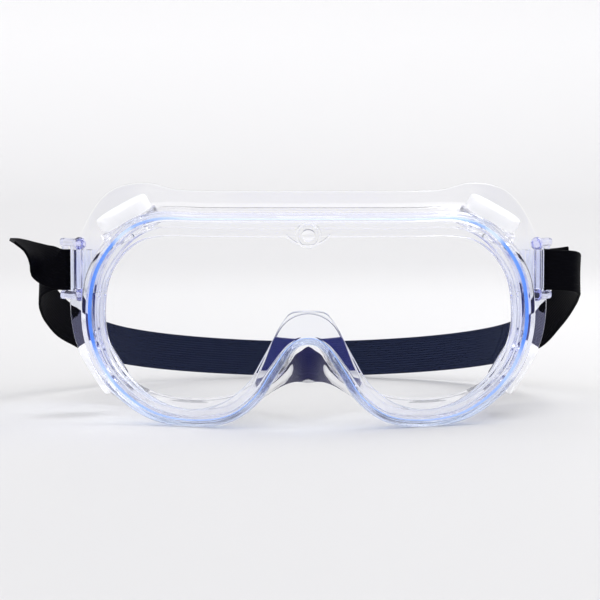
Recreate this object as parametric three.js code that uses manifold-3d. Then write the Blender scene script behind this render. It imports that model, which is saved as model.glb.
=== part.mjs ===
// Clear splash goggles: a soft moulded mask holds one wrap-round lens in a groove, four vent caps
// sit on its collars, and a strap clip swivels in a lug at each side and carries the headband.
// Millimetres. +X is the viewer's right, +Y runs back to the wearer, +Z is up. Shapes are worked out
// with y = 0 at the lens's front, and the last group centres them over their footprint.
import * as THREE from 'three';
import { mergeVertices } from 'three/addons/utils/BufferGeometryUtils.js';
import Module from 'manifold-3d';

const wasm = await Module();
wasm.setup();

// Lens and face curves
const LENS_RADIUS = 130;
const LENS_THICKNESS = 2;
const LENS_BLANK = { halfWidth: 84, height: 90, back: 46, depth: 50, facets: 44 };
const FACE_RADIUS = 131;
const WALL_BACK_Y = 38.5;
const FLANGE_BACK_Y = 42;

// Over the nose the wall and the flange come this far forward and the lip behind the lens reaches
// this much further, within NOSE_SPANS of the middle.
const NOSE_SPANS = 4;
const NOSE_WALL_FORWARD = 28;
const NOSE_FLANGE_FORWARD = 20;
const NOSE_LIP_LONGER = 5;

const ORIGIN_Y = 76;

// Frame section, measured from the lens's edge
const FIT_GAP = 0.3;
const EDGE_GAP = 0.5;
const LIP_THICKNESS = 1.3;
const RIM_REACH = 2;
const RIM_DEPTH = 5.4;
const WALL_THICKNESS = 2.2;
const FLANGE_THICKNESS = 1.5;
const BACK_LIP_REACH = 3.6;
const EDGE_ROUND = 0.7;
const LIP_SLOPE_SHARE = 0.1;

// Top tab and studs
const TAB_RADIUS = 10.2;
const TAB_CENTRE_Z = 71.2;
const BUTTON_Z = 65;
const BUTTON_STEPS = [[4.4, 1.4], [2.6, 2.3]];
const STUD_RADIUS = 1.1;
const STUD_HEIGHT = 0.7;
const STUD_PLACES = [[59.5, 64], [71.5, 44]];

// Vents
const VENT_SPOTS = { upper: 4.25, lower: 8.9 };
const VENT_TOWARDS_UP = { upper: THREE.MathUtils.degToRad(8), lower: 0 };
const VENT_BACK_SHARE = 0.42;
const BOSS = { length: 22, width: 15, below: 4.6, above: 1.2 };
const COLLAR = { length: 13.6, width: 7.2, wall: 1.5, height: 2.4 };
const CAP = { length: 20, width: 13, height: 5.2, wall: 1.4, round: 1.2 };
const CAP_SLOT = { width: 2.2, height: 2.4, pitch: 3.4, count: 4 };
const CAP_PEG_WIDTH = 3;

// Strap clips and their lugs
const CLIP_PIVOT = [83.5, 52, 51];
const LEFT_REST_ANGLE = THREE.MathUtils.degToRad(44);
const RIGHT_REST_ANGLE = THREE.MathUtils.degToRad(31.5);
const CLIP_LENGTH = 9;
const CLIP_INSIDE = 16.5;
const CLIP_RAIL = { radius: 1.9, thickness: 3 };
const FRONT_BAR_RADIUS = 1.2;
const MIDDLE_BAR = { radius: 0.8, place: 4.3 };
const REAR_BAR_RADIUS = 1.2;
const BAR_SHORT_OF_RAIL = 0.5;
const KNOB = { radius: 2.4, proud: 0.5 };
const LUG = { height: 14.4, radius: 2.6, bore: 1.5, arm: 7.6, armWidth: 4.4, slit: 1.6 };
const LUG_RIB = { radius: 1.5, inward: 3.7, forward: 1.2 };

// Headband
const BAND_WIDTH = 15;
const BAND_THICKNESS = 1.2;
const BAND_WRAP_RADIUS = REAR_BAR_RADIUS + 0.3 + BAND_THICKNESS / 2;
const BAND_LEAVES_AT = THREE.MathUtils.degToRad(11);
const BAND_CLIP_Z = 50.5;
const WRAP_STEPS = 6;

const SAMPLES_PER_SPAN = 2;

// How far a cutter runs past what it cuts.
const PAST = 1;

// The right half of the mask's four outlines, as [x, z] at the same places round it: the lens's
// edge, the lip's opening, the side wall's back edge and the face flange's edge.
const STATIONS = [
  { lens: [0, 70.5], lip: [0, 64.3], wall: [0, 73.6], flange: [0, 79.6] },
  { lens: [18, 70.5], lip: [17, 64.3], wall: [18.5, 73.6], flange: [17.5, 79.6] },
  { lens: [36, 70.5], lip: [33.5, 64.3], wall: [36.5, 73.6], flange: [34, 79.6] },
  { lens: [52, 70.5], lip: [48.5, 64.3], wall: [53, 73.9], flange: [48, 80.1] },
  { lens: [61.5, 67.1], lip: [56.5, 62.6], wall: [63.5, 71.6], flange: [60, 82.6] },
  { lens: [69, 60.3], lip: [63, 57.6], wall: [72.5, 64.8], flange: [74, 79.3] },
  { lens: [74.6, 51], lip: [68, 49.8], wall: [78, 54], flange: [85, 65] },
  { lens: [76.8, 39.5], lip: [69.7, 40], wall: [80, 40], flange: [90.4, 44] },
  { lens: [76, 28.5], lip: [69.2, 30.5], wall: [79, 28], flange: [89.6, 26] },
  { lens: [71.6, 18], lip: [65.6, 22], wall: [74.5, 17], flange: [83.2, 12.4] },
  { lens: [63.5, 9.4], lip: [58.8, 14], wall: [66, 8.6], flange: [72.5, 3.2] },
  { lens: [52.5, 3.4], lip: [50, 8.1], wall: [54, 5], flange: [55, 0.3] },
  { lens: [39, 1.7], lip: [39.3, 5.9], wall: [39, 4.2], flange: [39, -0.2] },
  { lens: [26.5, 3.9], lip: [28.8, 8.5], wall: [26.5, 6], flange: [27, 0.1] },
  { lens: [18, 10.3], lip: [20.8, 14.7], wall: [18.5, 9.4], flange: [20, 2.2] },
  { lens: [12.2, 19.2], lip: [14.6, 24.8], wall: [13, 11.5], flange: [14.5, 6.4] },
  { lens: [6.8, 27.1], lip: [8.2, 36.6], wall: [8, 17.1], flange: [8.3, 10.8] },
  { lens: [3.4, 29.7], lip: [5.6, 39.3], wall: [4.2, 24.8], flange: [4.2, 12.7] },
  { lens: [0, 30.3], lip: [0, 39.8], wall: [0, 28], flange: [0, 12.8] },
];
const SPANS = 2 * (STATIONS.length - 1);

// The whole loop of one outline, clockwise from the top as the viewer sees it.
function outlineOf(name) {
  const right = STATIONS.map((station) => station[name]);
  const left = right.slice(1, -1).reverse().map(([x, z]) => [-x, z]);
  const points = [...right, ...left].map(([x, z]) => new THREE.Vector3(x, 0, z));
  return new THREE.CatmullRomCurve3(points, true);
}
const lensEdge = outlineOf('lens');
const lipEdge = outlineOf('lip');
const wallEdge = outlineOf('wall');
const flangeEdge = outlineOf('flange');

// Geometry to a manifold solid, and back.
function solid(geometry) {
  const bare = geometry.clone();
  bare.deleteAttribute('normal');
  bare.deleteAttribute('uv');
  const merged = mergeVertices(bare, 1e-4);
  return new wasm.Manifold(new wasm.Mesh({
    numProp: 3,
    vertProperties: merged.attributes.position.array,
    triVerts: new Uint32Array(merged.index.array),
  }));
}

function geometryOf(made) {
  const { vertProperties, triVerts } = made.getMesh();
  const geometry = new THREE.BufferGeometry();
  geometry.setAttribute('position', new THREE.BufferAttribute(vertProperties, 3));
  geometry.setIndex(new THREE.BufferAttribute(triVerts, 1));
  return geometry;
}

const joined = (parts) => parts.map(solid).reduce((all, next) => all.add(next));

// Skins a row of equal rings of points. A looped row closes on itself, an open one gets flat ends.
function loft(rings, looped) {
  const size = rings[0].length;
  const faces = [];
  const spans = looped ? rings.length : rings.length - 1;
  for (let i = 0; i < spans; i++) {
    const here = i * size;
    const there = ((i + 1) % rings.length) * size;
    for (let k = 0; k < size; k++) {
      const next = (k + 1) % size;
      faces.push(here + k, there + k, there + next);
      faces.push(here + k, there + next, here + next);
    }
  }
  const last = (rings.length - 1) * size;
  for (let k = 2; k < size && !looped; k++) {
    faces.push(0, k - 1, k);
    faces.push(last, last + k, last + k - 1);
  }
  const geometry = new THREE.BufferGeometry().setFromPoints(rings.flat());
  geometry.setIndex(faces);
  return geometry;
}

// How far back a cylinder about a vertical axis has curved at x.
const sweepBack = (radius, x) => radius - Math.sqrt(radius * radius - x * x);

// A point d behind the lens's front surface, square to it.
function behindLens(x, z, d) {
  const y = sweepBack(LENS_RADIUS, x);
  return new THREE.Vector3(x * (1 - d / LENS_RADIUS), y + (LENS_RADIUS - y) * d / LENS_RADIUS, z);
}

function outward(curve, t) {
  const tangent = curve.getPoint((t + 1e-3) % 1).sub(curve.getPoint((t + 1 - 1e-3) % 1)).normalize();
  return new THREE.Vector3(-tangent.z, 0, tangent.x);
}

// How much of the nose's forward set the place t has: 1 in the middle of the nose, 0 off it.
function noseShare(t) {
  const away = Math.min(Math.abs(t - 0.5) * SPANS / NOSE_SPANS, 1);
  return Math.cos(away * Math.PI / 2) ** 2;
}

// The frame's section at t, once round from the lip's edge over the rim, down the side wall, round
// the flange and back up inside to the lens's groove.
function frameSection(t) {
  const edge = lensEdge.getPoint(t);
  const edgeOut = outward(lensEdge, t);
  const lip = lipEdge.getPoint(t);
  const lipRound = lip.clone().lerp(edge, LIP_SLOPE_SHARE);
  const wall = wallEdge.getPoint(t);
  const wallInside = wall.clone().addScaledVector(outward(wallEdge, t), -WALL_THICKNESS);
  const flange = flangeEdge.getPoint(t);
  const nearLens = (reach, d) => {
    const point = edge.clone().addScaledVector(edgeOut, reach);
    return behindLens(point.x, point.z, d);
  };
  const nearFace = ({ x, z }, y) => new THREE.Vector3(x, y + sweepBack(FACE_RADIUS, x), z);
  const front = -FIT_GAP - LIP_THICKNESS;
  const grooveBack = LENS_THICKNESS + FIT_GAP;
  const wallBackY = WALL_BACK_Y - NOSE_WALL_FORWARD * noseShare(t);
  const flangeBackY = FLANGE_BACK_Y - NOSE_FLANGE_FORWARD * noseShare(t);
  const backLipReach = BACK_LIP_REACH + NOSE_LIP_LONGER * noseShare(t);
  return [
    behindLens(lip.x, lip.z, front + EDGE_ROUND),
    behindLens(lipRound.x, lipRound.z, front),
    nearLens(RIM_REACH - EDGE_ROUND, front),
    nearLens(RIM_REACH, front + EDGE_ROUND),
    nearLens(RIM_REACH, RIM_DEPTH - EDGE_ROUND),
    nearLens(RIM_REACH - EDGE_ROUND, RIM_DEPTH),
    nearFace(wall, wallBackY - FLANGE_THICKNESS),
    nearFace(flange, flangeBackY - FLANGE_THICKNESS),
    nearFace(flange, flangeBackY),
    nearFace(wall, wallBackY + FLANGE_THICKNESS / 2),
    nearFace(wallInside, wallBackY - FLANGE_THICKNESS / 2),
    nearLens(RIM_REACH - EDGE_ROUND - WALL_THICKNESS, grooveBack + LENS_THICKNESS),
    nearLens(-backLipReach, grooveBack + LENS_THICKNESS),
    nearLens(-backLipReach, grooveBack),
    nearLens(EDGE_GAP, grooveBack),
    nearLens(EDGE_GAP, -FIT_GAP),
    behindLens(lip.x, lip.z, -FIT_GAP),
  ];
}

function aroundLoop(make) {
  const count = SPANS * SAMPLES_PER_SPAN;
  return Array.from({ length: count }, (_, i) => make(i / count));
}

// A frame of reference on the side wall's outside: x along the wall's edge, y to the back, z out
// and turned towards straight up.
function onWall(station, side, towardsUp) {
  const t = (side > 0 ? station : SPANS - station) / SPANS;
  const section = frameSection(t);
  const front = section[5];
  const back = section[6];
  const toBack = back.clone().sub(front).normalize();
  const out = outward(lensEdge, t);
  out.addScaledVector(toBack, -out.dot(toBack)).normalize();
  out.applyAxisAngle(toBack, -side * towardsUp);
  const along = toBack.clone().cross(out);
  const matrix = new THREE.Matrix4().makeBasis(along, toBack, out);
  return matrix.setPosition(front.clone().lerp(back, VENT_BACK_SHARE));
}

// A flat bar with round ends, its length along x, from z = low to z = high.
function stadium(length, width, low, high, bevel = 0) {
  const r = width / 2;
  const reach = length / 2 - r;
  const shape = new THREE.Shape();
  shape.absarc(reach, 0, r, -Math.PI / 2, Math.PI / 2);
  shape.absarc(-reach, 0, r, Math.PI / 2, 1.5 * Math.PI);
  const geometry = new THREE.ExtrudeGeometry(shape, {
    depth: high - low - 2 * bevel,
    bevelEnabled: bevel > 0,
    bevelSize: bevel,
    bevelOffset: -bevel,
    bevelThickness: bevel,
    bevelSegments: 1,
    curveSegments: 6,
  });
  return geometry.translate(0, 0, low + bevel);
}

function box(low, high) {
  const [x, y, z] = low.map((value, i) => high[i] - value);
  const geometry = new THREE.BoxGeometry(x, y, z);
  return geometry.translate(...low.map((value, i) => (value + high[i]) / 2));
}

function rod(radius, low, high, sides = 16) {
  const geometry = new THREE.CylinderGeometry(radius, radius, high - low, sides);
  return geometry.rotateX(Math.PI / 2).translate(0, 0, (low + high) / 2);
}

// A round stud that stands out of the lip at [x, z].
function stud(x, z, radius, height) {
  const geometry = rod(radius, 0, height);
  geometry.rotateX(Math.PI / 2);
  geometry.rotateZ(Math.asin(x / LENS_RADIUS));
  const foot = behindLens(x, z, -FIT_GAP - LIP_THICKNESS / 2);
  return geometry.translate(foot.x, foot.y, foot.z);
}

// The tab that hangs from the lip at the top, and its stepped button.
function topTab() {
  const shape = new THREE.Shape();
  shape.absarc(0, TAB_CENTRE_Z, TAB_RADIUS, Math.PI, 2 * Math.PI);
  const tab = new THREE.ExtrudeGeometry(shape, { depth: LIP_THICKNESS, bevelEnabled: false });
  tab.rotateX(Math.PI / 2).translate(0, -FIT_GAP, 0);
  const button = BUTTON_STEPS.map(([radius, height]) => stud(0, BUTTON_Z, radius, height));
  return [tab, ...button];
}

const mirrorPlaces = (places) => places.flatMap(([x, z]) => [[x, z], [-x, z]]);

const ventPlaces = Object.entries(VENT_SPOTS).flatMap(([height, station]) => [
  { name: `vent_cap_${height}_left`, matrix: onWall(station, -1, VENT_TOWARDS_UP[height]) },
  { name: `vent_cap_${height}_right`, matrix: onWall(station, 1, VENT_TOWARDS_UP[height]) },
]);

const restAngle = (side) => (side < 0 ? LEFT_REST_ANGLE : RIGHT_REST_ANGLE);

// The lug that a clip's front bar snaps into, with an upright rib where its arm leaves the wall.
function lugAt(side) {
  const [x, y, z] = CLIP_PIVOT;
  const half = LUG.height / 2;
  const body = joined([
    rod(LUG.radius, -half, half, 24),
    box([-LUG.arm, -LUG.armWidth / 2, -half], [0, LUG.armWidth / 2, half]),
    rod(LUG_RIB.radius, -half, half).translate(-LUG_RIB.inward, -LUG_RIB.forward, 0),
  ]);
  const bore = solid(rod(LUG.bore, -half - PAST, half + PAST, 24));
  const slit = solid(box(
    [-LUG.slit / 2, -LUG.radius - PAST, -half - PAST],
    [LUG.slit / 2, 0, half + PAST],
  ));
  const lug = geometryOf(body.subtract(bore).subtract(slit));
  if (side < 0) lug.rotateY(Math.PI);
  return lug.translate(side * x, y, z);
}

function frameGeometry() {
  const bosses = ventPlaces.map(({ matrix }) => {
    const boss = stadium(BOSS.length, BOSS.width, -BOSS.below, BOSS.above);
    return boss.applyMatrix4(matrix);
  });
  const collars = ventPlaces.map(({ matrix }) => {
    const collar = stadium(COLLAR.length, COLLAR.width, 0, BOSS.above + COLLAR.height);
    return collar.applyMatrix4(matrix);
  });
  const ports = ventPlaces.map(({ matrix }) => {
    const size = [COLLAR.length - 2 * COLLAR.wall, COLLAR.width - 2 * COLLAR.wall];
    return stadium(...size, -2 * BOSS.below, BOSS.above + COLLAR.height + PAST).applyMatrix4(matrix);
  });
  const studs = mirrorPlaces(STUD_PLACES).map(([x, z]) => {
    return stud(x, z, STUD_RADIUS, STUD_HEIGHT + LIP_THICKNESS / 2);
  });
  const shell = loft(aroundLoop(frameSection), true);
  const body = joined([shell, ...topTab(), ...studs, ...bosses, ...collars, lugAt(1), lugAt(-1)]);
  const belowFloor = box([-100, -20, -20], [100, 100, 0]);
  return geometryOf(body.subtract(joined([...ports, belowFloor])));
}

// A curved sheet cut to the lens's outline, its edge square to its surface.
function lensGeometry() {
  const halfAngle = Math.asin(LENS_BLANK.halfWidth / LENS_RADIUS);
  const down = -Math.PI / 2;
  const sheet = new THREE.Shape();
  sheet.absarc(0, LENS_RADIUS, LENS_RADIUS, down - halfAngle, down + halfAngle);
  sheet.absarc(0, LENS_RADIUS, LENS_RADIUS - LENS_THICKNESS, down + halfAngle, down - halfAngle, true);
  const bent = new THREE.ExtrudeGeometry(sheet, {
    depth: LENS_BLANK.height,
    bevelEnabled: false,
    curveSegments: LENS_BLANK.facets,
  });
  const flat = aroundLoop((t) => {
    const { x, z } = lensEdge.getPoint(t);
    return new THREE.Vector2(x * LENS_RADIUS / (LENS_RADIUS - sweepBack(LENS_RADIUS, x)), z);
  });
  const cutter = new THREE.ExtrudeGeometry(new THREE.Shape(flat), {
    depth: LENS_BLANK.depth,
    bevelEnabled: false,
  });
  cutter.rotateX(Math.PI / 2).translate(0, LENS_BLANK.back, 0);
  const corners = cutter.attributes.position;
  for (let i = 0; i < corners.count; i++) {
    corners.setX(i, corners.getX(i) * (1 - corners.getY(i) / LENS_RADIUS));
  }
  return geometryOf(solid(bent).intersect(solid(cutter)));
}

// A lid with air slots along its back and a peg at each end that grips the collar.
function ventCapGeometry() {
  const low = BOSS.above + FIT_GAP;
  const high = low + CAP.height;
  const { length, width, wall } = CAP;
  const lid = solid(stadium(length, width, low - 2 * CAP.round, high, CAP.round));
  const wellBelow = low - 2 * CAP.round - PAST;
  const hollow = stadium(length - 2 * wall, width - 2 * wall, wellBelow, high - wall);
  const slots = Array.from({ length: CAP_SLOT.count }, (_, i) => {
    const x = (i - (CAP_SLOT.count - 1) / 2) * CAP_SLOT.pitch;
    const reach = CAP_SLOT.width / 2;
    return box([x - reach, 0, wellBelow], [x + reach, width, low + CAP_SLOT.height]);
  });
  const below = box([-length, -width, wellBelow], [length, width, low]);
  const pegs = [-1, 1].map((side) => {
    const inner = COLLAR.length / 2 + FIT_GAP;
    const outer = length / 2 - wall / 2;
    const ends = [side * inner, side * outer].sort((a, b) => a - b);
    return box([ends[0], -CAP_PEG_WIDTH / 2, low], [ends[1], CAP_PEG_WIDTH / 2, high - wall / 2]);
  });
  const shell = lid.subtract(joined([hollow, ...slots, below]));
  return geometryOf(shell.add(joined(pegs)));
}

// A loop of three bars between two rails, in the clip's own frame: the front bar that swivels at
// the origin, the rear bar that carries the band along +y, and a round knob at each end in front.
function clipGeometry() {
  const half = CLIP_INSIDE / 2;
  const top = half + CLIP_RAIL.thickness;
  const reach = top - BAR_SHORT_OF_RAIL;
  const front = rod(FRONT_BAR_RADIUS, -reach, reach);
  const middle = rod(MIDDLE_BAR.radius, -reach, reach).translate(0, MIDDLE_BAR.place, 0);
  const rear = rod(REAR_BAR_RADIUS, -reach, reach).translate(0, CLIP_LENGTH, 0);
  const rails = [half, -top].map((low) => {
    const length = CLIP_LENGTH + 2 * CLIP_RAIL.radius;
    const rail = stadium(length, 2 * CLIP_RAIL.radius, low, low + CLIP_RAIL.thickness);
    return rail.rotateZ(Math.PI / 2).translate(0, CLIP_LENGTH / 2, 0);
  });
  const knobs = [1, -1].map((end) => {
    const knob = new THREE.SphereGeometry(KNOB.radius, 12, 8);
    return knob.translate(0, 0, end * (top + KNOB.proud - KNOB.radius));
  });
  return geometryOf(joined([front, middle, rear, ...rails, ...knobs]));
}

// The band's route, from the left tail's tip to the right tail's, as [x, y, z, twist in degrees].
// The back stretch is the same on both sides. The left tail lies in front of the band and twists
// up and forward. The right tail lies behind the band.
const BACK_STRETCH = [
  [91.2, 101.5, 25.2, 0],
  [86, 110, 21, 0],
  [79, 119, 17.4, 0],
  [67.5, 130.5, 13.9, 0],
  [51.5, 141.5, 10.9, 0],
  [33, 149.3, 8.8, 0],
  [15, 153, 7.7, 0],
];
const BACK_MIDDLE = [0, 154, 7.6, 0];
const RIGHT_STRETCH = [
  [94, 58.6, 50.2, 0],
  [98.9, 60.3, 49.8, 0],
  [102, 64.4, 48.6, 0],
  [102.6, 70.5, 46.2, 0],
  [101.6, 77.5, 42.4, 0],
  [99.4, 85, 37.6, 0],
  [96.3, 92.3, 32.4, 0],
];
const LEFT_STRETCH = [
  [-93.4, 62.2, 50.2, 0],
  [-97.5, 64.7, 49.3, 0],
  [-100.3, 68.7, 47.3, 0],
  [-101.2, 74.5, 43.6, 0],
  [-100.6, 80.5, 38.8, 0],
  [-98.6, 87, 33.8, 0],
  [-95.7, 93.5, 29.2, 0],
];
const LEFT_TAIL = [
  [-103.7, 54.4, 59, -72],
  [-101.2, 55.2, 56.8, -58],
  [-98.2, 56, 54.2, -36],
  [-94.3, 56.1, 51.6, -4],
];
const RIGHT_TAIL = [
  [93.5, 63.8, 50.9, 0],
  [97.6, 64.9, 51.4, 0],
];

// Half a turn round a clip's rear bar, from its front to its back, through the clip's slot.
function wrapRound(side) {
  const barX = CLIP_PIVOT[0] + CLIP_LENGTH * Math.sin(restAngle(side));
  const barY = CLIP_PIVOT[1] + CLIP_LENGTH * Math.cos(restAngle(side));
  return Array.from({ length: WRAP_STEPS + 1 }, (_, i) => {
    const angle = BAND_LEAVES_AT - Math.PI / 2 - Math.PI * i / WRAP_STEPS;
    const x = barX + BAND_WRAP_RADIUS * Math.cos(angle);
    const y = barY + BAND_WRAP_RADIUS * Math.sin(angle);
    return [side * x, y, BAND_CLIP_Z, 0];
  });
}

function headbandGeometry() {
  const route = [
    ...LEFT_TAIL,
    ...wrapRound(-1),
    ...LEFT_STRETCH,
    ...BACK_STRETCH.map(([x, y, z, twist]) => [-x, y, z, twist]),
    BACK_MIDDLE,
    ...BACK_STRETCH.toReversed(),
    ...RIGHT_STRETCH.toReversed(),
    ...wrapRound(1),
    ...RIGHT_TAIL,
  ];
  const curve = new THREE.CatmullRomCurve3(route.map(([x, y, z]) => new THREE.Vector3(x, y, z)));
  const count = (route.length - 1) * SAMPLES_PER_SPAN;
  const rings = Array.from({ length: count + 1 }, (_, i) => {
    const t = i / count;
    const place = t * (route.length - 1);
    const before = route[Math.floor(place)];
    const after = route[Math.ceil(place)];
    const twist = THREE.MathUtils.lerp(before[3], after[3], place % 1);
    const centre = curve.getPoint(t);
    const tangent = curve.getTangent(t);
    const up = new THREE.Vector3(0, 0, 1);
    up.addScaledVector(tangent, -up.dot(tangent)).normalize();
    up.applyAxisAngle(tangent, THREE.MathUtils.degToRad(twist));
    const across = tangent.clone().cross(up);
    const corners = [[-1, -1], [1, -1], [1, 1], [-1, 1]];
    return corners.map(([a, b]) => centre.clone()
      .addScaledVector(across, a * BAND_THICKNESS / 2)
      .addScaledVector(up, b * BAND_WIDTH / 2));
  });
  return loft(rings, false);
}

const softClear = { color: 0xdfe6fb, roughness: 0.12, metalness: 0, transparent: true, opacity: 0.45 };
const hardClear = { color: 0xf4f8ff, roughness: 0.04, metalness: 0, transparent: true, opacity: 0.2 };
const capClear = { color: 0xf6f8ff, roughness: 0.15, metalness: 0, transparent: true, opacity: 0.6 };
const elastic = { color: 0x0b0b0e, roughness: 0.9, metalness: 0 };

function part(name, geometry, look) {
  const made = new THREE.Mesh(geometry, new THREE.MeshStandardMaterial(look));
  made.name = name;
  return made;
}

const goggles = new THREE.Group();
goggles.position.y = -ORIGIN_Y;
goggles.add(part('frame', frameGeometry(), softClear));
goggles.add(part('lens', lensGeometry(), hardClear));
for (const { name, matrix } of ventPlaces) {
  const cap = part(name, ventCapGeometry(), capClear);
  cap.applyMatrix4(matrix);
  goggles.add(cap);
}
for (const [name, side] of [['strap_clip_left', -1], ['strap_clip_right', 1]]) {
  const clip = part(name, clipGeometry(), softClear);
  const [x, y, z] = CLIP_PIVOT;
  clip.position.set(side * x, y, z);
  clip.rotation.z = -side * restAngle(side);
  goggles.add(clip);
}
goggles.add(part('headband', headbandGeometry(), elastic));

const root = new THREE.Group();
root.add(goggles);
export default root;
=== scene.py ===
"""Clear splash goggles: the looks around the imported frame.

Lengths are millimetres in the part's own coordinates, with y = 0 at the lens's front, until
to_frame() turns them into metres in the row frame. +X is the viewer's right, +Y the wearer, +Z up.
"""

import math

import bmesh
import bpy
from mathutils import Matrix, Vector


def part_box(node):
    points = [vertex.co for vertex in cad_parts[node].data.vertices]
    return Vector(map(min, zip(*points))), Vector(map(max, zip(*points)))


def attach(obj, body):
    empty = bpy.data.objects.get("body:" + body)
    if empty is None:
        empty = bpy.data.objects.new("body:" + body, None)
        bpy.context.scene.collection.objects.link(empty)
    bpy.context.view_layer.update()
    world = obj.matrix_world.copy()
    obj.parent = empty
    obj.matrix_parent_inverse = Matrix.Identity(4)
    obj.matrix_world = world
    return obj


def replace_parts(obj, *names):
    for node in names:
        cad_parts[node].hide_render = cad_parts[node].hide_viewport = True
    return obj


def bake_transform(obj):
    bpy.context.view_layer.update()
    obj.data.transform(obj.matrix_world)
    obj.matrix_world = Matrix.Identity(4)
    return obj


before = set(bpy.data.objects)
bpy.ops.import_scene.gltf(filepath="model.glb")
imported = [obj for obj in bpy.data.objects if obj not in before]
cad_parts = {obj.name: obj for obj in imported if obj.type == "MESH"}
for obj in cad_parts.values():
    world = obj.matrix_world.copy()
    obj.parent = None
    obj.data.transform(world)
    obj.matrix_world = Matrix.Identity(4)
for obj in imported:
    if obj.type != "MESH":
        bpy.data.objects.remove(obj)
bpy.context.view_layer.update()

MM = 0.001
ORIGIN_Y = 76.0

# Driving sizes
LENS_RADIUS, LENS_THICKNESS, FACE_RADIUS = 130.0, 2.0, 131.0
LENS_HALF_WIDTH, LENS_MIDDLE_Z, LENS_EDGE_SOFT = 76.8, 50, 0.25
LENS_EDGE_GLOW_WIDTH, LENS_EDGE_GLOW_WIDER = 0.35, 1.25
WALL_BACK_Y, FLANGE_BACK_Y = 38.5, 42.0
NOSE_SPANS, NOSE_WALL_FORWARD, NOSE_FLANGE_FORWARD = 4, 28.0, 20.0
NOSE_WALL_THINNER, NOSE_LIP_LONGER = 1.3, 5.0
FIT_GAP, EDGE_GAP = 0.3, 0.5
LIP_THICKNESS, RIM_REACH, RIM_DEPTH = 1.3, 2.0, 5.4
WALL_THICKNESS, FLANGE_THICKNESS, FLANGE_DISH, BACK_LIP_REACH, RIM_STEP = 2.2, 1.5, 0.5, 3.6, 0.7
TAB_RADIUS, TAB_CENTRE_Z, BUTTON_Z = 10.2, 71.2, 65.0
TAB_BEAD = dict(inset=0.6, thickness=0.9, height=0.65, half_turn=math.radians(51))
BUTTON = dict(radius=2.3, height=1.2, soft=0.2, dome_from=1.1, dome_flat=0.45)
BUTTON_RING = dict(radius=3.9, thickness=1.0, height=0.75)
STUD = dict(radius=1.1, height=1.35, soft=0.35)
STUD_PLACES = [(59.5, 64), (71.5, 44)]
VENT_STATIONS = {"upper": 4.25, "lower": 8.9}
VENT_TOWARDS_UP = {"upper": math.radians(8), "lower": 0}
VENT_BACK_SHARE = 0.42
BOSS = dict(length=22.0, width=15.0, below=4.6, above=1.2, soft=0.5)
COLLAR = dict(length=13.6, width=7.2, wall=1.5, height=2.4, soft=0.3)
CAP = dict(length=20.0, width=13.0, height=5.2, wall=1.4, round=1.2, crown=0.25, crown_inset=3.2)
CAP_SLOT = dict(width=2.2, height=2.4, pitch=3.4, count=4)
CAP_PEG_WIDTH = 3.0
CLIP_PIVOT = (83.5, 52.0, 51.0)
LEFT_REST_ANGLE, RIGHT_REST_ANGLE = math.radians(44), math.radians(31.5)
CLIP_LENGTH, CLIP_INSIDE = 9.0, 16.5
CLIP_RAIL_RADIUS, CLIP_RAIL_THICKNESS, CLIP_RAIL_SOFT = 1.9, 3.0, 1.0
FRONT_BAR_RADIUS, REAR_BAR_RADIUS, BAR_END_INSET = 1.2, 1.2, 0.5
MIDDLE_BAR = dict(radius=0.8, place=4.3)
KNOB = dict(radius=2.4, proud=0.5)
LUG = dict(height=14.4, radius=2.6, bore=1.5, arm=7.6, arm_width=4.4, slit=1.6, soft=0.4)
LUG_RIB = dict(radius=1.5, inward=3.7, forward=1.2)
BAND_WIDTH, BAND_THICKNESS, BAND_RIBS, BAND_GROOVE = 15.0, 1.2, 15, 0.12
BAND_EDGE, BAND_EDGE_ROUND = 0.3, (0.4, 0.1)
BAND_WRAP_RADIUS = REAR_BAR_RADIUS + 0.3 + BAND_THICKNESS / 2
BAND_LEAVES_AT = math.radians(11)
BAND_CLIP_Z = 50.5
# How far a cutter goes past what it cuts, and the space under the floor, which cuts the frame flat.
PAST = 1.0
BELOW_FLOOR = (-120, -30, -20), (120, 110, 0)

# The right half of the mask's outlines at the same places round it, as (x, z): the lens's edge,
# the lip's opening, the side wall's back edge and the face flange's edge.
STATIONS = [
    ((0, 70.5), (0, 64.3), (0, 73.6), (0, 79.6)),
    ((18, 70.5), (17, 64.3), (18.5, 73.6), (17.5, 79.6)),
    ((36, 70.5), (33.5, 64.3), (36.5, 73.6), (34, 79.6)),
    ((52, 70.5), (48.5, 64.3), (53, 73.9), (48, 80.1)),
    ((61.5, 67.1), (56.5, 62.6), (63.5, 71.6), (60, 82.6)),
    ((69, 60.3), (63, 57.6), (72.5, 64.8), (74, 79.3)),
    ((74.6, 51), (68, 49.8), (78, 54), (85, 65)),
    ((76.8, 39.5), (69.7, 40), (80, 40), (90.4, 44)),
    ((76, 28.5), (69.2, 30.5), (79, 28), (89.6, 26)),
    ((71.6, 18), (65.6, 22), (74.5, 17), (83.2, 12.4)),
    ((63.5, 9.4), (58.8, 14), (66, 8.6), (72.5, 3.2)),
    ((52.5, 3.4), (50, 8.1), (54, 3.8), (55, 0.3)),
    ((39, 1.7), (39.3, 5.9), (39, 2.8), (39, -0.2)),
    ((26.5, 3.9), (28.8, 8.5), (26.5, 4.8), (27, 0.1)),
    ((18, 10.3), (20.8, 14.7), (18.5, 9.4), (20, 2.2)),
    ((12.2, 19.2), (14.6, 24.8), (13, 11.5), (14.5, 6.4)),
    ((6.8, 27.1), (8.2, 36.6), (8, 17.1), (8.3, 10.8)),
    ((3.4, 29.7), (5.6, 39.3), (4.2, 24.8), (4.2, 12.7)),
    ((0, 30.3), (0, 39.8), (0, 28), (0, 12.8)),
]
SPANS = 2 * (len(STATIONS) - 1)
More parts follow.
